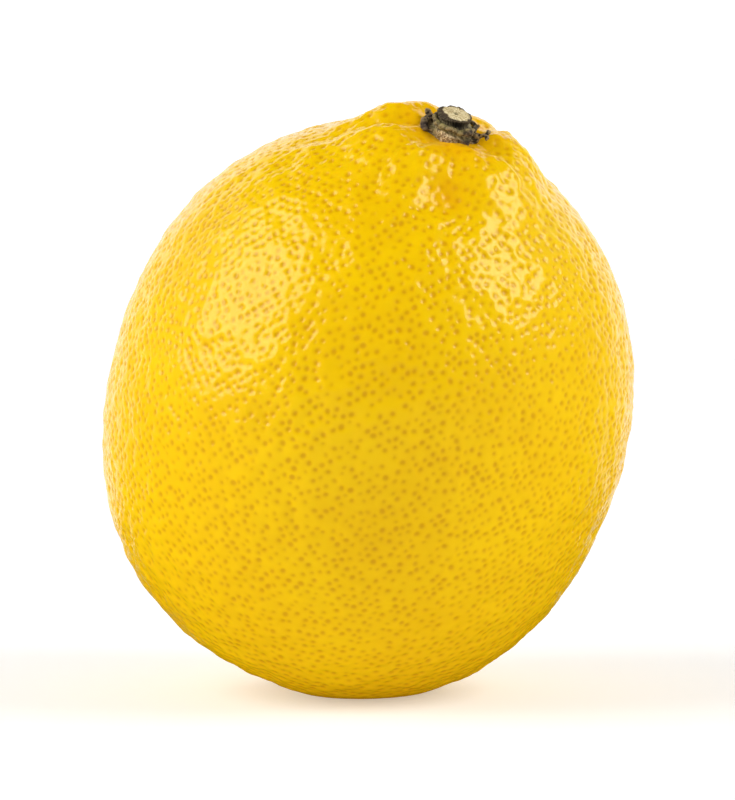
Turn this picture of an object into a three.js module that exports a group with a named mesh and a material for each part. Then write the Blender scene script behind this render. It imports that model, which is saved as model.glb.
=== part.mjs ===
// A lemon resting on the small flat spot beside its blossom nipple, stem end up and leaning.
// The peel is one solid; the calyx and the cut stub of the stem are its own small pieces.
// Millimetres, +Z up, -Y is the front. The origin is the middle of the underside.
import * as THREE from "three";
import { mergeVertices } from "three/addons/utils/BufferGeometryUtils.js";

// ---- The fruit, in its own frame: +Z runs along the axis to the stem ----
const EQUATOR_RADIUS = 31;
const STEM_HALF_LENGTH = 35.0; // widest section to the stem end, without the collar
const BLOSSOM_HALF_LENGTH = 35.2; // widest section to the blossom end, without the nipple
const BLOSSOM_FULLNESS = 2.22; // 2 is an ellipse; more is fuller at the shoulders
const PEEL_DETAIL = 20; // each icosahedron edge is cut into one more than this
const STEM_CROWDING = 0.4; // draws the peel's vertices towards the stem end

// The raised collar round the stem, its hollow, and the furrows that run out of it.
const COLLAR = { height: 3.15, radius: 10.4, steepness: 4, oval: 0.1, oval_turn: 0.6 };
const COLLAR_LIMIT = 1; // radians off the axis, beyond which neither collar nor hollow shows
const HOLLOW = { depth: 2.6, radius: 4.4 };
const STEM_FURROWS = [
  { azimuth: -24, depth: 0.75, width: 1.5, reach: 15 },
  { azimuth: 38, depth: 0.6, width: 1.7, reach: 13 },
  { azimuth: 84, depth: 0.8, width: 1.6, reach: 15 },
  { azimuth: 128, depth: 0.6, width: 1.9, reach: 14 },
  { azimuth: 174, depth: 1.3, width: 1.5, reach: 19 },
  { azimuth: 218, depth: 0.7, width: 1.7, reach: 14 },
  { azimuth: 250, depth: 0.55, width: 1.5, reach: 12 },
];
const STEM_FURROW_START = 2; // distance from the end at which the furrows begin
const FURROW_RISE = 4; // distance from there to a furrow's full depth
const FURROW_FALL = 5; // distance from there to where it starts to fade towards its reach
// The blossom nipple leans off the axis, with a furrow round most of it.
const NIPPLE = { lean: 4.5, azimuth: 220, height: 2.45, radius: 5.4, steepness: 2.6 };
const AREOLA = { depth: 0.6, radius: 8.6, width: 2.3 };
const BLOSSOM_FURROWS = [
  { azimuth: -52, depth: 0.35, width: 1.8, reach: 20 },
  { azimuth: 35, depth: 0.4, width: 2.2, reach: 18 },
  { azimuth: 120, depth: 0.5, width: 2.0, reach: 20 },
  { azimuth: 186, depth: 0.4, width: 2.2, reach: 17 },
];
const BLOSSOM_FURROW_START = 7;

// Lobes (raised) and dents (sunk) at places on the peel, measured off the stem axis.
const LOBES = [
  { polar: 12, azimuth: 138, height: 0.5, radius: 4.2 },
  { polar: 11, azimuth: 14, height: 0.6, radius: 4.6 },
  { polar: 18, azimuth: -48, height: 0.7, radius: 3.4 },
  { polar: 15, azimuth: -135, height: 0.4, radius: 3.6 },
  { polar: 11, azimuth: -84, height: -0.6, radius: 2.2 },
  { polar: 17.5, azimuth: -89, height: -1.25, radius: 2.6 },
  { polar: 30, azimuth: -102, height: -0.4, radius: 2.4 },
  { polar: 46, azimuth: 180, height: 0.65, radius: 14 },
  { polar: 145, azimuth: -5, height: 0.95, radius: 16 },
  { polar: 154, azimuth: -62, height: 0.6, radius: 10 },
];

// Slow swells that keep the body from being a perfect turned shape.
const SWELLS = [
  { towards: [0.8, -0.5, -0.35], waves: 2.1, size: 0.34, phase: 0.4 },
  { towards: [-0.4, -0.7, 0.6], waves: 3.3, size: 0.22, phase: 1.9 },
  { towards: [-0.7, 0.6, -0.3], waves: 4.2, size: 0.16, phase: 2.8 },
  { towards: [0.3, 0.9, 0.3], waves: 5.4, size: 0.12, phase: 5.1 },
];

// ---- How it stands ----
const LEAN_FORWARD = 23; // degrees, the stem end towards the front
const LEAN_RIGHT = 15.1;
const REST_DEPTH = 0.9; // how deep the flat spot is pressed into the round of the peel
const REST_EDGE = 0.25; // half the height over which the flat spot's rim is rounded

// ---- The button on the stem end ----
const GAP = 0.3; // between two pieces that touch
const SETTLING_STEPS = 12; // enough to find the peel's height under a point of the button
const CALYX = { radius: 2.75, thickness: 0.6, crown: 0.3 };
const CROWN_FLAT = 0.8; // the crown is level as far as this share of the stub's foot
const CROWN_EDGE = 1.1; // and gone at this share of the calyx's radius
const SEPALS = [
  { azimuth: 28, length: 0.9, width: 20 },
  { azimuth: 140, length: 1.7, width: 16 },
  { azimuth: 198, length: 0.7, width: 22 },
  { azimuth: 266, length: 1.1, width: 30 },
  { azimuth: 334, length: 1.9, width: 14 },
];
const SEPAL_CURL = 0.55; // how far a long sepal's tip lifts
const SEPAL_THINNING = 0.45; // the share of its thickness that it loses on the way
const SEPAL_RUN = 2; // distance beyond the calyx's radius over which it lifts and thins
const STUB = { foot: 2.35, waist: 1.65, head: 1.9, height: 0.95, pith: 0.28, pith_depth: 0.12 };
const CALYX_RINGS = 6;
const CALYX_SECTORS = 60;
const STUB_SECTORS = 36;

const degrees = THREE.MathUtils.degToRad;
const bell = (x) => Math.exp(-x * x);
const ramp = THREE.MathUtils.smoothstep;

/** The smallest turn from azimuth b to azimuth a, in radians. */
function turn(a, b) {
  return Math.atan2(Math.sin(a - b), Math.cos(a - b));
}

/** A unit direction from its angle off the stem axis and its azimuth. */
function direction(polar, azimuth) {
  return new THREE.Vector3(
    Math.sin(polar) * Math.cos(azimuth),
    Math.sin(polar) * Math.sin(azimuth),
    Math.cos(polar),
  );
}

/** Distance from the centre to the plain egg-shaped body. */
function bodyRadius(polar) {
  const stemSide = Math.cos(polar) > 0;
  const half = stemSide ? STEM_HALF_LENGTH : BLOSSOM_HALF_LENGTH;
  const power = stemSide ? 2 : BLOSSOM_FULLNESS;
  const across = (Math.sin(polar) / EQUATOR_RADIUS) ** power;
  const along = (Math.abs(Math.cos(polar)) / half) ** power;
  return (across + along) ** (-1 / power);
}

/** Height of the collar, with its hollow, over the body. */
function collarHeight(polar, azimuth) {
  if (polar > COLLAR_LIMIT) return 0;
  const fromStem = polar * STEM_HALF_LENGTH;
  const edge = COLLAR.radius * (1 + COLLAR.oval * Math.cos(2 * azimuth + COLLAR.oval_turn));
  const height = COLLAR.height * Math.exp(-((fromStem / edge) ** COLLAR.steepness));
  return height - HOLLOW.depth * bell(fromStem / HOLLOW.radius);
}

/** Depth of the furrows that run out from one end, at a distance from that end. */
function furrowDepth(furrows, away, azimuth, start) {
  let depth = 0;
  for (const furrow of furrows) {
    if (away > furrow.reach) continue;
    const across = turn(azimuth, degrees(furrow.azimuth)) * Math.max(away, start);
    const begun = ramp(away, start, start + FURROW_RISE);
    const faded = ramp(away, start + FURROW_FALL, furrow.reach);
    depth += furrow.depth * bell(across / furrow.width) * (begun * (1 - faded));
  }
  return depth;
}

/** Height of the nipple and its furrow over the body. */
function nippleHeight(place) {
  const middle = direction(Math.PI - degrees(NIPPLE.lean), degrees(NIPPLE.azimuth));
  const away = place.angleTo(middle) * BLOSSOM_HALF_LENGTH;
  const tip = NIPPLE.height * Math.exp(-((away / NIPPLE.radius) ** NIPPLE.steepness));
  return tip - AREOLA.depth * bell((away - AREOLA.radius) / AREOLA.width);
}

/** Distance from the centre to the peel in a direction. */
function peelRadius(polar, azimuth) {
  const place = direction(polar, azimuth);
  const fromStem = polar * STEM_HALF_LENGTH;
  const fromBlossom = (Math.PI - polar) * BLOSSOM_HALF_LENGTH;
  let radius = bodyRadius(polar) + collarHeight(polar, azimuth) + nippleHeight(place);
  radius -= furrowDepth(STEM_FURROWS, fromStem, azimuth, STEM_FURROW_START);
  radius -= furrowDepth(BLOSSOM_FURROWS, fromBlossom, azimuth, BLOSSOM_FURROW_START);
  for (const lobe of LOBES) {
    const middle = direction(degrees(lobe.polar), degrees(lobe.azimuth));
    radius += lobe.height * bell((place.angleTo(middle) * STEM_HALF_LENGTH) / lobe.radius);
  }
  for (const swell of SWELLS) {
    const along = place.dot(new THREE.Vector3(...swell.towards));
    radius += swell.size * Math.cos(swell.waves * along + swell.phase);
  }
  return radius;
}

/** Height of the peel along the axis, at a distance from the axis near the stem. */
function peelTop(away, azimuth) {
  let polar = away / STEM_HALF_LENGTH;
  for (let step = 0; step < SETTLING_STEPS; step++) {
    polar = Math.asin(away / peelRadius(polar, azimuth));
  }
  return peelRadius(polar, azimuth) * Math.cos(polar);
}

/** The geometry with one vertex at each place. */
function welded(geometry) {
  geometry.deleteAttribute("normal");
  geometry.deleteAttribute("uv");
  const merged = mergeVertices(geometry);
  merged.computeVertexNormals();
  return merged;
}

/** The peel, with the flat spot pressed in on the side that faces down. */
function peelGeometry(up) {
  const geometry = welded(new THREE.IcosahedronGeometry(1, PEEL_DETAIL));
  const position = geometry.attributes.position;
  const points = [];
  for (let i = 0; i < position.count; i++) {
    const p = new THREE.Vector3().fromBufferAttribute(position, i);
    const even = Math.acos(THREE.MathUtils.clamp(p.z, -1, 1));
    const polar = even - (STEM_CROWDING / 2) * Math.sin(even) * (1 + Math.cos(even));
    const azimuth = Math.atan2(p.y, p.x);
    points.push(direction(polar, azimuth).multiplyScalar(peelRadius(polar, azimuth)));
  }
  const floor = Math.min(...points.map((p) => p.dot(up))) + REST_DEPTH;
  points.forEach((p, i) => {
    const over = p.dot(up) - floor;
    if (over < REST_EDGE) {
      const kept = over < -REST_EDGE ? 0 : (over + REST_EDGE) ** 2 / (4 * REST_EDGE);
      p.addScaledVector(up, kept - over);
    }
    position.setXYZ(i, p.x, p.y, p.z);
  });
  geometry.computeVertexNormals();
  return { geometry, floor };
}

/** A closed solid between a top and an underside, each given at (share of radius, azimuth). */
function discGeometry(top, under, rings, sectors) {
  const vertices = [...top(0, 0)];
  const faces = [];
  for (let ring = 1; ring <= rings; ring++) {
    for (let s = 0; s < sectors; s++) {
      vertices.push(...top(ring / rings, (s / sectors) * 2 * Math.PI));
    }
  }
  for (let ring = rings; ring >= 1; ring--) {
    for (let s = 0; s < sectors; s++) {
      vertices.push(...under(ring / rings, (s / sectors) * 2 * Math.PI));
    }
  }
  vertices.push(...under(0, 0));
  const last = 2 * rings * sectors + 1;
  for (let s = 0; s < sectors; s++) {
    const next = (s + 1) % sectors;
    faces.push(0, 1 + s, 1 + next);
    for (let loop = 0; loop < 2 * rings - 1; loop++) {
      const a = 1 + loop * sectors;
      const b = a + sectors;
      faces.push(a + s, b + s, b + next, a + s, b + next, a + next);
    }
    faces.push(last, last - sectors + next, last - sectors + s);
  }
  const geometry = new THREE.BufferGeometry();
  geometry.setAttribute("position", new THREE.Float32BufferAttribute(vertices, 3));
  geometry.setIndex(faces);
  geometry.computeVertexNormals();
  return geometry;
}

/** How far the calyx reaches from the axis. */
function calyxReach(azimuth) {
  let reach = CALYX.radius;
  for (const sepal of SEPALS) {
    const off = turn(azimuth, degrees(sepal.azimuth)) / degrees(sepal.width);
    reach += sepal.length * bell(off);
  }
  return reach;
}

/** Height of the calyx's underside: it lies on the peel, and the sepals' tips lift off. */
function calyxUnder(away, azimuth) {
  const lifted = ramp(away, CALYX.radius, CALYX.radius + SEPAL_RUN) * SEPAL_CURL;
  return peelTop(away, azimuth) + GAP + lifted;
}

/** Height of the calyx's top, which rises to a crown that carries the stem. */
function calyxTop(away, azimuth) {
  const crownDrop = ramp(away, STUB.foot * CROWN_FLAT, CALYX.radius * CROWN_EDGE);
  const crown = CALYX.crown * (1 - crownDrop);
  const thin = 1 - SEPAL_THINNING * ramp(away, CALYX.radius, CALYX.radius + SEPAL_RUN);
  return calyxUnder(away, azimuth) + CALYX.thickness * thin + crown;
}

function calyxGeometry() {
  const place = (height) => (share, azimuth) => {
    const away = share * calyxReach(azimuth);
    return [away * Math.cos(azimuth), away * Math.sin(azimuth), height(away, azimuth)];
  };
  return discGeometry(place(calyxTop), place(calyxUnder), CALYX_RINGS, CALYX_SECTORS);
}

/** The stub's outline up its side and over its cut end, above the height of its foot. */
const STUB_OUTLINE = [
  [0, 0],
  [STUB.foot, 0],
  [STUB.foot, 0.15],
  [0.9 * STUB.foot, 0.3],
  [STUB.waist, 0.45],
  [STUB.waist, 0.55],
  [0.97 * STUB.head, STUB.height - 0.25],
  [STUB.head, STUB.height - 0.1],
  [0.93 * STUB.head, STUB.height],
  [STUB.pith, STUB.height],
  [0, STUB.height - STUB.pith_depth],
];

/** The stub, lifted clear of the calyx's crown. */
function stubGeometry() {
  let seat = 0;
  for (let ring = 0; ring <= CALYX_RINGS; ring++) {
    for (let s = 0; s < CALYX_SECTORS; s++) {
      const away = (ring / CALYX_RINGS) * STUB.foot;
      seat = Math.max(seat, calyxTop(away, (s / CALYX_SECTORS) * 2 * Math.PI));
    }
  }
  const outline = STUB_OUTLINE.map((point) => new THREE.Vector2(...point));
  const geometry = new THREE.LatheGeometry(outline, STUB_SECTORS);
  geometry.rotateX(Math.PI / 2);
  geometry.translate(0, 0, seat + GAP);
  return welded(geometry);
}

const PEEL = { color: 0xf2bd05, roughness: 0.38, metalness: 0 };
const SEPAL_BROWN = { color: 0x6b5c3a, roughness: 0.9, metalness: 0 };
const CUT_WOOD = { color: 0x9c8a5c, roughness: 0.85, metalness: 0 };

function piece(name, geometry, finish) {
  const mesh = new THREE.Mesh(geometry, new THREE.MeshStandardMaterial(finish));
  mesh.name = name;
  return mesh;
}

const lemon = new THREE.Group();
lemon.rotation.set(degrees(LEAN_FORWARD), degrees(LEAN_RIGHT), 0);
const up = new THREE.Vector3(0, 0, 1).applyQuaternion(lemon.quaternion.clone().invert());
const peel = peelGeometry(up);
lemon.add(piece("fruit", peel.geometry, PEEL));
lemon.add(piece("calyx", calyxGeometry(), SEPAL_BROWN));
lemon.add(piece("stem_stub", stubGeometry(), CUT_WOOD));

lemon.updateMatrixWorld(true);
const middle = new THREE.Box3().setFromObject(lemon, true).getCenter(new THREE.Vector3());
lemon.position.set(-middle.x, -middle.y, -peel.floor);

const part = new THREE.Group();
part.add(lemon);
export default part;
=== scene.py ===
"""A ripe lemon that stands on a small flat spot, stem end up, in a plain pale studio."""

import math

import bmesh
import bpy
import numpy as np
from mathutils import Matrix, Vector, kdtree, noise
from mathutils.bvhtree import BVHTree


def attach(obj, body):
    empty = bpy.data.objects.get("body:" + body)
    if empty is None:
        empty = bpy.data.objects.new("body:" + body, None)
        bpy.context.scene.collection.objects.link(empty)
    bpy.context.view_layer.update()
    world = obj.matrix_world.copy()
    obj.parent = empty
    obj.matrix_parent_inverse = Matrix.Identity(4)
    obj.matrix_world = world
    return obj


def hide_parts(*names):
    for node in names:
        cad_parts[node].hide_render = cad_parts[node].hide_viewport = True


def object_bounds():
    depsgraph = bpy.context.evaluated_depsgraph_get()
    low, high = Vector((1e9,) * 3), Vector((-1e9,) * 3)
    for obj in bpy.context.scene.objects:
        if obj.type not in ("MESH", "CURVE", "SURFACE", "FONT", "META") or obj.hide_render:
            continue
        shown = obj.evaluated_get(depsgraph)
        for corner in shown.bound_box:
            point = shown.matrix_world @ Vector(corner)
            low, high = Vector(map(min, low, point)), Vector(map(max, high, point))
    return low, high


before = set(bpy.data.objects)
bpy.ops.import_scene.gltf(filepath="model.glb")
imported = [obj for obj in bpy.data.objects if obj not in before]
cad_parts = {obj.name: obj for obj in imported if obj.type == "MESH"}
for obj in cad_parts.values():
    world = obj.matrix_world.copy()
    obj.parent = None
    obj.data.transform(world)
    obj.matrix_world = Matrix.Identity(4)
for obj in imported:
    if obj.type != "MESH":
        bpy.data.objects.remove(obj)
CAD_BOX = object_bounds()
MM = 0.001
RANDOM = np.random.default_rng(11)

# How the fruit leans, as in the CAD. In its own frame, +Z runs along its axis to the stem.
LEAN_FORWARD = math.radians(23)
LEAN_RIGHT = math.radians(15.1)
AXES = Matrix.Rotation(LEAN_FORWARD, 3, "X") @ Matrix.Rotation(LEAN_RIGHT, 3, "Y")
AXIS = AXES @ Vector((0, 0, 1))
STUB_TO_CENTRE = 36 * MM


def node_middle(name):
    """The mean place of a CAD node's vertices."""
    points = [v.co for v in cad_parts[name].data.vertices]
    return sum(points, Vector()) / len(points)


CENTRE = node_middle("stem_stub") - AXIS * STUB_TO_CENTRE


# ---- Camera ----
CAMERA_ELEVATION = math.radians(5)
CAMERA_DISTANCE = 0.62
CAMERA_LENS = 234
CAMERA_DROP = 0.2 * MM  # how far under the middle of the fruit the camera aims


def add_camera():
    low, high = CAD_BOX
    target = (low + high) / 2 - Vector((0, 0, CAMERA_DROP))
    back = Vector((0, -math.cos(CAMERA_ELEVATION), math.sin(CAMERA_ELEVATION)))
    data = bpy.data.cameras.new("camera")
    data.lens = CAMERA_LENS
    data.sensor_width = 36
    camera = bpy.data.objects.new("camera", data)
    camera.location = target + back * CAMERA_DISTANCE
    camera.rotation_euler = (-back).to_track_quat("-Z", "Y").to_euler()
    bpy.context.collection.objects.link(camera)
    bpy.context.scene.camera = camera


add_camera()


# ---- Small helpers ----
def add_object(name, vertices, faces):
    mesh = bpy.data.meshes.new(name)
    mesh.from_pydata([tuple(v) for v in vertices], [], [tuple(f) for f in faces])
    piece = bpy.data.objects.new(name, mesh)
    bpy.context.collection.objects.link(piece)
    mesh.shade_smooth()
    return piece


def set_attribute(piece, name, values):
    """Keeps a number for each vertex, which a material can read."""
    attribute = piece.data.attributes.new(name, "FLOAT", "POINT")
    attribute.data.foreach_set("value", np.asarray(values, np.float32))


def normals_of(mesh):
    flat = np.empty(len(mesh.vertices) * 3)
    mesh.vertex_normals.foreach_get("vector", flat)
    return flat.reshape(-1, 3)


def smooth_tree(node, levels):
    """A tree for casting rays at a rounded copy of a CAD node, which itself stays as it is."""
    welded = bmesh.new()
    welded.from_mesh(node.data)
    bmesh.ops.remove_doubles(welded, verts=welded.verts, dist=1e-3 * MM)
    copy = add_object("copy", [], [])
    welded.to_mesh(copy.data)
    welded.free()
    copy.modifiers.new("rounded", "SUBSURF").levels = levels
    graph = bpy.context.evaluated_depsgraph_get()
    tree = BVHTree.FromObject(copy, graph)
    bpy.data.objects.remove(copy)
    return tree


def ramp(x, start, end):
    """0 before start, 1 after end and smooth between them."""
    t = np.clip((np.asarray(x) - start) / (end - start), 0, 1)
    return t * t * (3 - 2 * t)


def bell(x):
    return np.exp(-np.square(x))


def noise_at(points, size, offset=0.0):
    """Smooth noise, about -1 to 1, with lumps of that size."""
    shift = Vector((offset, 2 * offset, -offset))
    return np.array([noise.noise(Vector(p) / size + shift) for p in points])


# ---- The peel ----
FRUIT = smooth_tree(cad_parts["fruit"], 2)
PATCH_STEPS = 256  # quads along each side of the six patches


def sphere_patches(steps):
    """Directions, quads and UV corners of a sphere made of six square patches."""
    across = np.tan(np.linspace(-1, 1, steps + 1) * math.pi / 4)
    u, v = np.meshgrid(across, across, indexing="ij")
    one = np.ones_like(u)
    sides = [(u, v, one), (v, u, -one), (one, u, v), (-one, v, u), (v, one, u), (u, -one, v)]
    points = np.concatenate([np.stack(side, -1).reshape(-1, 3) for side in sides])
    points /= np.linalg.norm(points, axis=1, keepdims=True)
    _, first, place = np.unique(points.round(7), axis=0, return_index=True, return_inverse=True)
    row = steps + 1
    i, j = np.meshgrid(np.arange(steps), np.arange(steps), indexing="ij")
    corner = (i * row + j).ravel()
    quad = np.stack([corner, corner + row, corner + row + 1, corner + 1], 1)
    quads = np.concatenate([quad + side * row * row for side in range(6)])
    grid = np.stack(np.meshgrid(np.linspace(0, 1, row), np.linspace(0, 1, row), indexing="ij"), -1)
    tile = 0.01 + 0.98 * grid.reshape(-1, 2)
    offsets = [(side % 3, side // 3) for side in range(6)]
    uv = np.concatenate([(tile + offset) / (3, 2) for offset in offsets])
    return points[first], place.ravel()[quads], uv[quads]


def peel_base():
    directions, quads, uv = sphere_patches(PATCH_STEPS)
    turned = directions @ np.array(AXES.transposed())
    points = [FRUIT.ray_cast(CENTRE, Vector(d))[0] for d in turned]
    piece = add_object("peel", points, quads)
    layer = piece.data.uv_layers.new(name="OFBake")
    layer.data.foreach_set("uv", uv.reshape(-1))
    return piece, np.array(points), directions


PORES = 11200
PORE_JITTER = 0.006  # as a share of the distance from the fruit's middle
PORE_CLEARANCE = 0.75 * MM
PORE_RADII = (0.22, 0.35)  # least and most, in millimetres
PORE_WEIGHTS = (0.55, 1.1)  # how deep and dark the faintest and the strongest pore are
PORE_STRETCH = 0.35  # 0 would make the pores round
PORE_REACH = 1.4 * MM  # past this a pore changes nothing
PORE_DEPTH = 0.1 * MM  # the narrow pit in the middle of each pore
DIMPLE_DEPTH = 0.05 * MM  # the wider dimple round it, which leaves the skin between in mounds
DIMPLE_RADIUS = 0.52 * MM
HALO_RADIUS = 0.46 * MM  # the faintly darker skin round the pit


def pore_middles():
    """Evenly scattered places on the peel, pushed about at random, without those left too close."""
    k = np.arange(PORES) + 0.5
    z = 1 - 2 * k / PORES
    turn = k * math.pi * (3 - math.sqrt(5))
    out = np.sqrt(1 - z * z)
    ways = np.stack([out * np.cos(turn), out * np.sin(turn), z], 1)
    ways += RANDOM.normal(0, PORE_JITTER, (PORES, 3))
    places = np.array([FRUIT.ray_cast(CENTRE, Vector(w))[0] for w in ways])
    tree = kdtree.KDTree(PORES)
    for i, place in enumerate(places):
        tree.insert(place, i)
    tree.balance()
    kept = []
    dropped = set()
    for i, place in enumerate(places):
        if i in dropped:
            continue
        kept.append(i)
        dropped.update(j for _, j, _ in tree.find_range(place, PORE_CLEARANCE) if j > i)
    return places[kept]


def pores(points):
    """The depth of the oil pores at each vertex, and how dark they make it, from 0 to about 1."""
    tree = kdtree.KDTree(len(points))
    for i, place in enumerate(points):
        tree.insert(place, i)
    tree.balance()
    depth = np.zeros(len(points))
    dimple = np.zeros(len(points))
    shade = np.zeros(len(points))
    for middle in pore_middles():
        radius = RANDOM.uniform(*PORE_RADII) * MM
        weight = RANDOM.uniform(*PORE_WEIGHTS)
        index = np.array([found[1] for found in tree.find_range(middle, PORE_REACH)], int)
        if not len(index):
            continue
        offset = points[index] - middle
        stretch = RANDOM.normal(size=3)
        along = offset @ (stretch / np.linalg.norm(stretch))
        away = np.sqrt(np.maximum((offset**2).sum(1) - PORE_STRETCH * along**2, 0))
        pit = np.exp(-((away / radius) ** 2.2))
        depth[index] += PORE_DEPTH * weight * pit
        wide = (0.5 + 0.5 * weight) * bell(away / DIMPLE_RADIUS)
        dimple[index] = np.maximum(dimple[index], wide)
        tint = np.maximum(pit, 0.5 * bell(away / HALO_RADIUS))
        shade[index] = np.maximum(shade[index], tint * weight)
    return depth + DIMPLE_DEPTH * dimple, shade


def way(polar, azimuth):
    """The direction at that angle from the stem and round the axis, in degrees."""
    a, b = math.radians(polar), math.radians(azimuth)
    return np.array([math.sin(a) * math.cos(b), math.sin(a) * math.sin(b), math.cos(a)])


DENT = way(17.5, -89)
SPECK = way(87.8, -108.8)
CREASE = (way(30, -93), way(37, -85.5))
SWELLINGS = [  # place, and height and radius in millimetres
    (way(12.5, 65), 0.6, 3.4),  # the collar is fuller behind the stem
    (way(4.5, -90), 0.35, 2.4),  # the peel comes up to the calyx in front
]
END_ARC = 35  # millimetres of peel for each radian near the stem and the nipple
WAIST_ARC = 33  # the same round the fruit's waist


def from_place(directions, place, arc=END_ARC):
    """Distance from a place on the peel, in millimetres."""
    return np.linalg.norm(directions - place, axis=1) * arc


def from_crease(directions):
    """Distance from the short crease under the dent, in millimetres."""
    start, end = CREASE
    run = end - start
    share = np.clip((directions - start) @ run / (run @ run), 0, 1)
    return from_place(directions, start + share[:, None] * run)


def skin_lumps(points, from_stem):
    """The uneven skin between the pores, in millimetres: it is coarser towards the stem."""
    lumps = 0.1 * noise_at(points, 5.5 * MM)
    pebbles = 0.18 * noise_at(points, 2.6 * MM, 5) + 0.06 * noise_at(points, 1.15 * MM, 9)
    return lumps + pebbles * (1 + 0.7 * (1 - ramp(from_stem, 12, 32)))


def end_folds(directions, from_stem, from_nipple):
    """Folds that run out from the stem, and finer ones on the nipple, in millimetres."""
    azimuth = np.arctan2(directions[:, 1], directions[:, 0])
    round_axis = np.stack([np.cos(azimuth) * 3.2, np.sin(azimuth) * 3.2, from_stem / 9], 1)
    near_stem = ramp(from_stem, 3.5, 7) * (1 - ramp(from_stem, 10, 19))
    folds = 0.5 * noise_at(round_axis, 1.0, 3) - 0.25 * np.abs(noise_at(round_axis, 0.45, 8))
    near_nipple = 1 - ramp(from_nipple, 6, 14)
    return near_stem * folds + near_nipple * 0.16 * noise_at(round_axis, 0.5, 13)


def make_peel():
    piece, points, directions = peel_base()
    normals = normals_of(piece.data)
    polar = np.arccos(np.clip(directions[:, 2], -1, 1))
    from_stem = polar * END_ARC
    from_speck = from_place(directions, SPECK, WAIST_ARC)

    lumps = skin_lumps(points, from_stem)
    lumps += end_folds(directions, from_stem, (math.pi - polar) * END_ARC)
    for place, height, radius in SWELLINGS:
        lumps += height * bell(from_place(directions, place) / radius)
    lumps += 0.13 * bell(from_crease(directions) / 0.45)
    lumps += 0.07 * bell(from_speck / 0.7) - 0.15 * bell(from_speck / 0.28)
    pits, shade = pores(points)
    relief = lumps * MM - pits * (1 - 0.5 * (1 - ramp(from_stem, 3, 7)))
    relief *= ramp(points[:, 2], 0.1 * MM, 1.2 * MM)  # the flat spot stays flat

    moved = points + normals * relief[:, None]
    moved[:, 2] = np.maximum(moved[:, 2], 0)
    piece.data.vertices.foreach_set("co", moved.reshape(-1))
    piece.data.update()
    set_attribute(piece, "pore", np.maximum(shade, 1.2 * bell(from_speck / 0.35)))
    # Painted shade: deeper orange round the stem, where the calyx sits, and in the dent.
    from_dent = np.arccos(np.clip(directions @ DENT, -1, 1)) * END_ARC
    stem_and_dent_shade = 0.55 * (1 - ramp(from_stem, 3, 9)) + 0.5 * bell(from_dent / 2.2)
    set_attribute(piece, "stem_and_dent_shade", stem_and_dent_shade)
    return piece


peel = make_peel()
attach(peel, "root")
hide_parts("fruit")


# ---- The calyx and the stem, made in millimetres in the fruit's own frame ----
def peel_height(x, y):
    """Height of the peel along the axis from the centre, in millimetres."""
    start = CENTRE + AXES @ Vector((x, y, 60)) * MM
    hit = FRUIT.ray_cast(start, -AXIS)[0]
    return (hit - CENTRE).dot(AXIS) / MM


STUB_RISE = 0.3  # the broken cut end stands this much over the CAD's plain one
STUB_TOP = STUB_RISE + max(
    (v.co - CENTRE).dot(AXIS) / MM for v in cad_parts["stem_stub"].data.vertices
)


def place_in_fruit(piece, points):
    """Writes points given in millimetres in the fruit's own frame into the piece."""
    placed = (np.asarray(points) * MM) @ np.array(AXES.transposed()) + np.array(CENTRE)
    piece.data.vertices.foreach_set("co", placed.reshape(-1))
    piece.data.update()


def points_of(mesh):
    flat = np.empty(len(mesh.vertices) * 3)
    mesh.vertices.foreach_get("co", flat)
    return flat.reshape(-1, 3)


def wrap(around, other):
    """How far apart two azimuths are, in degrees, the short way round."""
    return np.abs((np.asarray(around) - other + 180) % 360 - 180)


CALYX_LOBES = [  # azimuth, reach beyond the disc and half width, in degrees and millimetres
    (28, 0.5, 15),
    (142, 0.9, 16),
    (184, 0.6, 14),
    (226, -0.3, 20),
    (250, 0.15, 16),
    (283, -0.05, 13),
    (304, 0.3, 9),
    (340, 0.5, 13),
]
CALYX_ARMS = [  # chains of (azimuth, distance, height over the peel, radius): curled and forked tips
    [(141, 3.0, 0.6, 0.5), (143, 3.4, 0.75, 0.36), (146, 3.65, 0.95, 0.28), (148, 3.75, 1.1, 0.38)],
    [(345, 2.9, 0.7, 0.42), (344, 3.4, 0.9, 0.25), (343, 3.8, 1.0, 0.22), (338, 4.15, 0.95, 0.27)],
    [(343, 3.8, 1.0, 0.22), (350, 4.05, 1.2, 0.25)],
    [(24, 2.7, 0.8, 0.4), (22, 3.05, 1.1, 0.24)],
    [(144, 3.3, 0.6, 0.4), (160, 3.4, 0.55, 0.46), (176, 3.35, 0.45, 0.46), (192, 3.3, 0.3, 0.4)],
]
DISC_RADIUS = 2.75
RADIAN = 57.3  # degrees, as near as the disc's ragged edge needs
LIP_MIDDLE = 2.35  # how far from the axis the lip round the stem runs
LIP_DROP = 1.1  # and how far under the cut face
VOXEL = 0.06  # the finest detail left when the calyx's parts are fused


def at_azimuth(degrees):
    """The x and y of a point at that azimuth, 1 from the axis."""
    angle = math.radians(degrees)
    return math.cos(angle), math.sin(angle)


def disc_reach(azimuth):
    """How far out the ragged edge of the disc is."""
    lobes = sum(far * bell(wrap(azimuth, at) / wide) for at, far, wide in CALYX_LOBES)
    turn = azimuth / RADIAN
    ragged = noise.noise(Vector((math.cos(turn), math.sin(turn), 0)) * 6)
    return DISC_RADIUS + lobes + 0.22 * ragged


def disc_thickness(azimuth, away):
    """Thicker in the middle, with a swelling round the front."""
    thick = 0.45 + 0.75 * float(1 - ramp(away, 1.6, 2.9))
    return thick + 0.6 * bell(wrap(azimuth, 258) / 45) * bell((away - LIP_MIDDLE) / 0.5)


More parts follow.
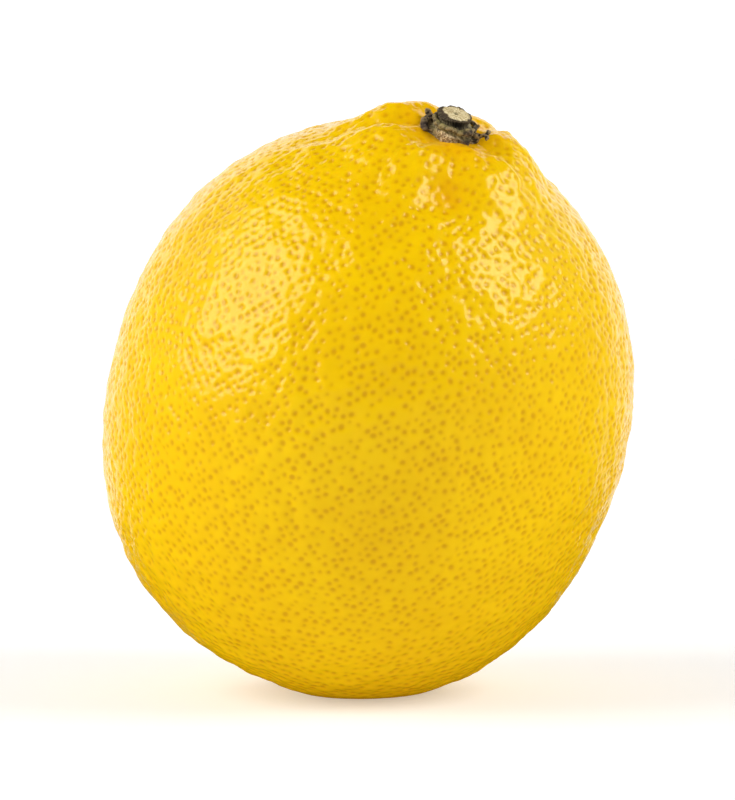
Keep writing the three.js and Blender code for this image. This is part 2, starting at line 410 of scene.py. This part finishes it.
def calyx_disc(out):
    """A lobed, ragged disc under the stem, whose edge curls up."""
    rings, sectors = 14, 150
    rows = []
    for side in (1, 0):
        for ring in range(rings + 1):
            share = ring / rings if side else 1 - ring / rings
            for s in range(sectors):
                azimuth = 360 * s / sectors
                away = share * disc_reach(azimuth)
                x, y = (away * part for part in at_azimuth(azimuth))
                over = disc_thickness(azimuth, away) if side else -0.15
                curl = 0.3 * float(ramp(away, 2.9, 3.8))
                rows.append(out.verts.new((x, y, peel_height(x, y) + over + curl)))
    count = 2 * (rings + 1)
    for k in range(count):
        for s in range(sectors):
            t = (s + 1) % sectors
            a, b = k * sectors, (k + 1) % count * sectors
            out.faces.new((rows[a + s], rows[b + s], rows[b + t], rows[a + t]))


def add_ball(out, centre, radius):
    matrix = Matrix.Translation(centre)
    bmesh.ops.create_icosphere(out, subdivisions=2, radius=radius, matrix=matrix)


def calyx_arm(out, chain):
    """A tapering arm through a chain of balls."""
    for first, last in zip(chain, chain[1:]):
        for step in np.linspace(0, 1, 7):
            azimuth, away, over, size = (a + (b - a) * step for a, b in zip(first, last))
            x, y = (away * part for part in at_azimuth(azimuth))
            add_ball(out, (x, y, peel_height(x, y) + over), size)


def receptacle(out):
    """The smooth olive lip that the stem sits in, fuller at the front and left."""
    for azimuth in np.arange(0, 360, 3):
        x, y = at_azimuth(azimuth)
        size = 0.27 + 0.09 * bell(wrap(azimuth, 225) / 60) + 0.22 * bell(wrap(azimuth, 312) / 20)
        wave = noise.noise(Vector((x, y, 0)) * 2.2)
        away = LIP_MIDDLE + 0.07 + 0.22 * wave
        add_ball(out, (x * away, y * away, STUB_TOP - LIP_DROP + 0.3 * wave), size)


def fused(shape):
    """One skin round all the parts of a shape, as a new object."""
    bmesh.ops.recalc_face_normals(shape, faces=shape.faces)
    parts = add_object("parts", [], [])
    shape.to_mesh(parts.data)
    remesh = parts.modifiers.new("fused", "REMESH")
    remesh.mode = "VOXEL"
    remesh.voxel_size = VOXEL
    graph = bpy.context.evaluated_depsgraph_get()
    mesh = bpy.data.meshes.new_from_object(parts.evaluated_get(graph))
    bpy.data.objects.remove(parts)
    piece = bpy.data.objects.new("calyx_detail", mesh)
    bpy.context.collection.objects.link(piece)
    return piece


def make_calyx():
    shape = bmesh.new()
    calyx_disc(shape)
    for chain in CALYX_ARMS:
        calyx_arm(shape, chain)
    receptacle(shape)
    piece = fused(shape)
    shape.free()
    points, normals = points_of(piece.data), normals_of(piece.data)
    around = np.degrees(np.arctan2(points[:, 1], points[:, 0]))
    away = np.hypot(points[:, 0], points[:, 1])
    level = points[:, 2]
    grain = noise_at(points, 0.42, 1) + 0.5 * noise_at(points, 0.19, 2)
    on_lip = bell((away - LIP_MIDDLE) / 0.4)
    turn = np.radians(around)
    ribs = noise_at(np.stack([np.cos(turn) * 9, np.sin(turn) * 9, away * 0.3], 1), 0.8, 3) * on_lip
    height = 0.17 * grain * (1 - 0.85 * on_lip) + 0.03 * ribs
    place_in_fruit(piece, points + normals * height[:, None])
    piece.data.shade_smooth()
    set_attribute(piece, "grain", grain)
    set_attribute(piece, "ribs", ribs)
    under_lip = 1 - ramp(level, STUB_TOP - 1.75, STUB_TOP - 1.5)
    set_attribute(piece, "front_lobe", bell(wrap(around, 246) / 30) * under_lip)
    set_attribute(piece, "olive", on_lip * bell(wrap(around, 240) / 80))
    # Painted shade at the disc's ragged edge on two sides.
    shaded_sides = bell(wrap(around, 190) / 20) + bell(wrap(around, 303) / 20)
    set_attribute(piece, "shade", ramp(away, 2.6, 3.0) * shaded_sides)
    return piece


STUB_PROFILE = [  # distance from the axis and height over the calyx, in millimetres
    (2.25, -1.2),
    (2.35, -0.1),
    (2.15, 0.3),
    (1.85, 0.6),
    (1.78, 0.85),
    (1.86, 1.1),
    (1.96, 1.32),
    (2.03, 1.45),
    (1.99, 1.56),
    (1.85, 1.61),
]
STUB_SHIFT = (-0.18, 0.05, 0)  # the cut end leans a little off the axis
STUB_BASE = STUB_TOP - STUB_PROFILE[-1][1]


def stub_base():
    """The turned stub: its outline, and a slightly crowned cut face."""
    sectors, rings, top_rings = 200, 60, 40
    outline = np.array(STUB_PROFILE)
    steps = np.linspace(0, len(outline) - 1, rings)
    radii = np.interp(steps, np.arange(len(outline)), outline[:, 0])
    heights = np.interp(steps, np.arange(len(outline)), outline[:, 1])
    inward = np.linspace(1, 0, top_rings + 1)[1:-1]
    radii = np.concatenate([radii, radii[-1] * inward])
    heights = np.concatenate([heights, np.full(len(inward), heights[-1]) + 0.05 * (1 - inward**2)])
    count = len(radii)
    points = []
    for radius, height in zip(radii, heights):
        for s in range(sectors):
            a = 2 * math.pi * s / sectors
            points.append((radius * math.cos(a), radius * math.sin(a), STUB_BASE + height))
    tip = len(points)
    points.append((0, 0, STUB_BASE + heights[-1]))
    under = len(points)
    points.append((0, 0, STUB_BASE + heights[0]))
    faces = []
    for s in range(sectors):
        t = (s + 1) % sectors
        for k in range(count - 1):
            a, b = k * sectors, (k + 1) * sectors
            faces.append((a + s, a + t, b + t, b + s))
        faces.append(((count - 1) * sectors + s, (count - 1) * sectors + t, tip))
        faces.append((t, s, under))
    return add_object("stem_detail", points, faces)


def make_stub():
    piece = stub_base()
    points, normals = points_of(piece.data), normals_of(piece.data)
    away = np.hypot(points[:, 0], points[:, 1])
    around = np.degrees(np.arctan2(points[:, 1], points[:, 0]))
    level = points[:, 2] - STUB_BASE
    unit = np.stack([np.cos(np.radians(around)), np.sin(np.radians(around))], 1)

    def streaks(turns, along, size, offset):
        """Noise that is drawn out along the stem, or along its radius."""
        return noise_at(np.concatenate([unit * turns, along[:, None]], 1), size, offset)

    # The cut face ends in a ragged edge, and at the front left a chip is broken off it.
    chip = bell(wrap(around, 214) / 36)
    ragged = away + 0.16 * streaks(3, away, 0.6, 11) + 0.34 * chip
    cut = ramp(level, 1.5, 1.6) * (1 - ramp(ragged, 1.68, 1.84))
    fibres = streaks(6, level * 0.5, 0.5, 3) + 0.5 * streaks(6, level * 0.5, 0.22, 6)
    rays = streaks(5, away * 0.4, 0.5, 4)
    flutes = streaks(2.6, np.ones(len(away)), 1.0, 5)
    side = (0.09 * fibres + 0.14 * noise_at(points, 0.8, 2) + 0.14 * flutes) * (1 - cut)
    side -= 0.4 * bell(wrap(around, -75) / 42) * bell((level - 0.95) / 0.42)
    face = cut * (0.035 * rays + 0.03 * noise_at(points, 0.3, 7)) - 0.17 * bell(away / 0.2) * cut

    points = points + normals * (side + face)[:, None]
    points[:, 2] -= 0.3 * chip * ramp(ragged, 1.7, 2.0) * ramp(level, 0.9, 1.5)
    points += np.array(STUB_SHIFT) * ramp(level, 0, 1.2)[:, None]
    place_in_fruit(piece, points)
    set_attribute(piece, "cut", cut)
    set_attribute(piece, "pith", bell(away / 0.26) * cut)
    set_attribute(piece, "fibres", fibres)
    set_attribute(piece, "rays", rays)
    set_attribute(piece, "level", level)
    # Painted shade in the hollow under the cut end's rim at the front.
    set_attribute(piece, "hollow_shade", bell(wrap(around, -82) / 40) * bell((level - 0.9) / 0.42))
    set_attribute(piece, "rim", bell((ragged - 1.86) / 0.14) * ramp(level, 1.3, 1.5))
    return piece


calyx = make_calyx()
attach(calyx, "root")
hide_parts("calyx")
stub = make_stub()
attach(stub, "root")
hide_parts("stem_stub")


# ---- Materials ----
class Nodes:
    """Short calls for adding nodes to a new material."""

    def __init__(self, name):
        self.material = bpy.data.materials.new(name)
        self.material.use_nodes = True
        self.tree = self.material.node_tree
        self.shader = self.tree.nodes["Principled BSDF"]

    def add(self, kind, **settings):
        node = self.tree.nodes.new("ShaderNode" + kind)
        for key, value in settings.items():
            setattr(node, key, value)
        return node

    def link(self, source, target):
        self.tree.links.new(source, target)

    def attribute(self, name):
        return self.add("Attribute", attribute_name=name).outputs["Fac"]

    def noise(self, size, detail=3.0, roughness=0.5):
        node = self.add("TexNoise")
        node.inputs["Scale"].default_value = 1 / size
        node.inputs["Detail"].default_value = detail
        node.inputs["Roughness"].default_value = roughness
        self.link(self.add("TexCoord").outputs["Object"], node.inputs["Vector"])
        return node.outputs["Fac"]

    def remap(self, value, start, end, low=0.0, high=1.0):
        node = self.add("MapRange", interpolation_type="SMOOTHSTEP")
        for name, number in zip(("From Min", "From Max", "To Min", "To Max"), (start, end, low, high)):
            node.inputs[name].default_value = number
        self.link(value, node.inputs["Value"])
        return node.outputs["Result"]

    def math(self, operation, a, b):
        node = self.add("Math", operation=operation)
        for socket, value in zip(node.inputs, (a, b)):
            if isinstance(value, (int, float)):
                socket.default_value = value
            else:
                self.link(value, socket)
        return node.outputs[0]

    def mix(self, factor, a, b):
        """A mix of two colours: the node's inputs 6 and 7, and its output 2."""
        node = self.add("Mix", data_type="RGBA")
        self.link(factor, node.inputs[0])
        for socket, value in zip((node.inputs[6], node.inputs[7]), (a, b)):
            if isinstance(value, tuple):
                socket.default_value = (*value, 1)
            else:
                self.link(value, socket)
        return node.outputs[2]

    def bump(self, height, distance):
        node = self.add("Bump")
        node.inputs["Distance"].default_value = distance
        node.inputs["Strength"].default_value = 1.0
        self.link(height, node.inputs["Height"])
        self.link(node.outputs["Normal"], self.shader.inputs["Normal"])

    def set(self, **values):
        """Sets the shader's own values: specular_ior_level=0.3 sets "Specular IOR Level"."""
        for socket in self.shader.inputs:
            name = socket.name.lower().replace(" ", "_")
            if name in values:
                socket.default_value = values.pop(name)
        assert not values, values


def peel_material():
    m = Nodes("lemon_peel")
    yellow, deep_yellow, light_mottle = (0.89, 0.56, 0.0), (0.86, 0.52, 0.0), (0.93, 0.6, 0.0)
    amber, shade_orange = (0.68, 0.325, 0.0), (0.84, 0.37, 0.0)
    base = m.mix(m.remap(m.noise(14 * MM), 0.35, 0.65), yellow, deep_yellow)
    base = m.mix(m.remap(m.noise(1.6 * MM), 0.4, 0.75, 0, 0.4), base, light_mottle)
    base = m.mix(m.remap(m.attribute("pore"), 0, 0.9, 0, 0.8), base, amber)
    # Painted shade: deeper orange round the stem, where the calyx sits, and in the dent.
    base = m.mix(m.attribute("stem_and_dent_shade"), base, shade_orange)
    m.link(base, m.shader.inputs["Base Color"])
    m.link(m.remap(m.attribute("pore"), 0, 0.8, 0.19, 0.24), m.shader.inputs["Roughness"])
    m.set(specular_ior_level=0.45, specular_tint=(1, 0.95, 0.7, 1))
    m.set(subsurface_weight=0.15, subsurface_scale=1.2 * MM)
    m.set(subsurface_radius=(1.0, 0.55, 0.05))
    m.bump(m.noise(0.35 * MM, 2), 0.015 * MM)
    return m.material


def calyx_material():
    m = Nodes("dry_calyx")
    crack_and_shade, brown, shade_brown = (0.03, 0.018, 0.011), (0.34, 0.24, 0.11), (0.04, 0.024, 0.02)
    dark_olive, olive = (0.12, 0.095, 0.03), (0.32, 0.26, 0.08)
    tan, straw = (0.25, 0.145, 0.065), (0.86, 0.66, 0.36)
    # The dry calyx's own tone, darkest where the grain sinks, with painted shade in those hollows.
    base = m.mix(m.remap(m.attribute("grain"), -0.35, 0.45), crack_and_shade, brown)
    lip = m.mix(m.remap(m.attribute("ribs"), -0.3, 0.3), dark_olive, olive)
    base = m.mix(m.attribute("olive"), base, lip)
    # Painted shade at the disc's ragged edge on two sides.
    base = m.mix(m.math("MULTIPLY", m.attribute("shade"), 0.8), base, shade_brown)
    front_lobe = m.attribute("front_lobe")
    base = m.mix(m.math("MULTIPLY", front_lobe, 0.85), base, tan)
    granules = m.remap(m.noise(0.24 * MM, 2), 0.44, 0.62)
    base = m.mix(m.math("MULTIPLY", granules, front_lobe), base, straw)
    m.link(base, m.shader.inputs["Base Color"])
    m.set(roughness=0.75, specular_ior_level=0.35)
    m.bump(m.noise(0.12 * MM, 3), 0.02 * MM)
    return m.material


def stub_material():
    m = Nodes("cut_stem")
    dark_bark, bark, shadow = (0.06, 0.04, 0.022), (0.36, 0.3, 0.15), (0.04, 0.026, 0.014)
    hollow_shade, rim, pith = (0.02, 0.014, 0.006), (0.07, 0.045, 0.022), (0.1, 0.085, 0.02)
    wood, pale_wood = (0.6, 0.47, 0.23), (0.85, 0.74, 0.45)
    stain, wide_stain = (0.36, 0.25, 0.09), (0.3, 0.2, 0.07)
    side = m.mix(m.remap(m.attribute("fibres"), -0.5, 0.6), dark_bark, bark)
    side = m.mix(m.remap(m.attribute("level"), 0.75, 1.3, 0, 0.75), side, shadow)
    # Painted shade in the hollow under the cut end's rim at the front.
    side = m.mix(m.attribute("hollow_shade"), side, hollow_shade)
    face = m.mix(m.remap(m.attribute("rays"), -0.6, 0.5), wood, pale_wood)
    face = m.mix(m.remap(m.noise(0.25 * MM, 4), 0.42, 0.68, 0, 0.85), face, stain)
    face = m.mix(m.remap(m.noise(1.1 * MM), 0.5, 0.7, 0, 0.5), face, wide_stain)
    base = m.mix(m.attribute("cut"), side, face)
    base = m.mix(m.attribute("rim"), base, rim)
    base = m.mix(m.attribute("pith"), base, pith)
    m.link(base, m.shader.inputs["Base Color"])
    m.set(roughness=0.8, specular_ior_level=0.3)
    m.bump(m.noise(0.1 * MM, 3), 0.02 * MM)
    return m.material


peel.data.materials.append(peel_material())
calyx.data.materials.append(calyx_material())
stub.data.materials.append(stub_material())


# ---- Studio ----
def add_light(name, place, target, size, power):
    data = bpy.data.lights.new(name, "AREA")
    data.shape = "RECTANGLE"
    data.size, data.size_y = size
    data.energy = power
    light = bpy.data.objects.new(name, data)
    light.location = place
    light.rotation_euler = (Vector(target) - Vector(place)).to_track_quat("-Z", "Y").to_euler()
    light.visible_camera = False
    bpy.context.collection.objects.link(light)


def add_studio():
    target = (0, 0, 0.035)
    add_light("key", (-0.75, -0.24, 0.54), target, (0.66, 0.8), 6.2)
    add_light("fill", (0.72, -0.22, 0.58), target, (0.5, 0.55), 4.4)
    world = bpy.data.worlds.new("studio")
    world.use_nodes = True
    background = world.node_tree.nodes["Background"]
    background.inputs["Color"].default_value = (1, 1, 1, 1)
    background.inputs["Strength"].default_value = 0.26
    world.cycles_visibility.glossy = False
    bpy.context.scene.world = world
    bpy.context.scene.view_settings.view_transform = "Standard"


def pale_finish():
    """Near white, with a glow that hides where floor and wall join and fades in front."""
    m = Nodes("pale_studio")
    m.set(base_color=(0.72, 0.72, 0.72, 1), roughness=0.9, specular_ior_level=0)
    m.set(emission_color=(1, 1, 1, 1))
    place = m.add("TexCoord").outputs["Object"]
    distance = m.add("VectorMath", operation="LENGTH")
    m.link(place, distance.inputs[0])
    depth = m.add("SeparateXYZ")
    m.link(place, depth.inputs[0])
    glow = m.remap(distance.outputs["Value"], 0.1, 1.5, 0.34, 0.6)
    front = m.remap(depth.outputs["Y"], -1.2, -0.25, 0, 1)
    m.link(m.math("MULTIPLY", glow, front), m.shader.inputs["Emission Strength"])
    m.material.cycles.emission_sampling = "NONE"
    return m.material


CELLS_ROUND = 180


def backdrop_outline():
    """Distances from the middle and heights: a floor, a bend and a wall."""
    radius, bend, height = 1.5, 0.7, 1.3
    curve = np.radians(np.arange(0, 91, 6))
    floor = np.concatenate([[1e-4], np.geomspace(0.02, 0.8, 13)])
    away = np.concatenate([floor, radius + bend * np.sin(curve), [radius + bend]])
    level = np.concatenate([floor * 0, bend * (1 - np.cos(curve)), [bend + height]])
    return away, level


def add_backdrop():
    """A pale floor that curves up into a wall all round, as a round grid of cells.

    The fruit's gloss shows all of it behind the fruit, ever fewer cells to the sides, and none in
    front or close by, as the room behind a camera is dark.
    """
    away, level = backdrop_outline()
    turn = np.linspace(0, 2 * math.pi, CELLS_ROUND, endpoint=False)
    x, y = np.outer(away, np.cos(turn)), np.outer(away, np.sin(turn))
    vertices = np.stack([x.ravel(), y.ravel(), np.repeat(level, CELLS_ROUND)], 1)
    ring, cell = np.meshgrid(np.arange(len(away) - 1), np.arange(CELLS_ROUND), indexing="ij")
    corner = ring * CELLS_ROUND + cell
    beside = ring * CELLS_ROUND + (cell + 1) % CELLS_ROUND
    faces = np.stack([corner, corner + CELLS_ROUND, beside + CELLS_ROUND, beside], -1)
    from_behind = wrap((cell + 0.5) * 360 / CELLS_ROUND, 90)
    share = (1 - ramp(from_behind, 20, 76)) * ramp(away[ring], 0.02, 0.12)
    in_gloss = (0.7549 * cell + 0.5698 * ring) % 1 < share  # these two steps spread the cells evenly
    finish = pale_finish()
    for name, cells in (("backdrop_back", in_gloss), ("backdrop_front", ~in_gloss)):
        used, index = np.unique(faces[cells], return_inverse=True)
        sheet = add_object(name, vertices[used], index.reshape(-1, 4))
        sheet.data.materials.append(finish)
        sheet.visible_glossy = name == "backdrop_back"


add_studio()
add_backdrop()
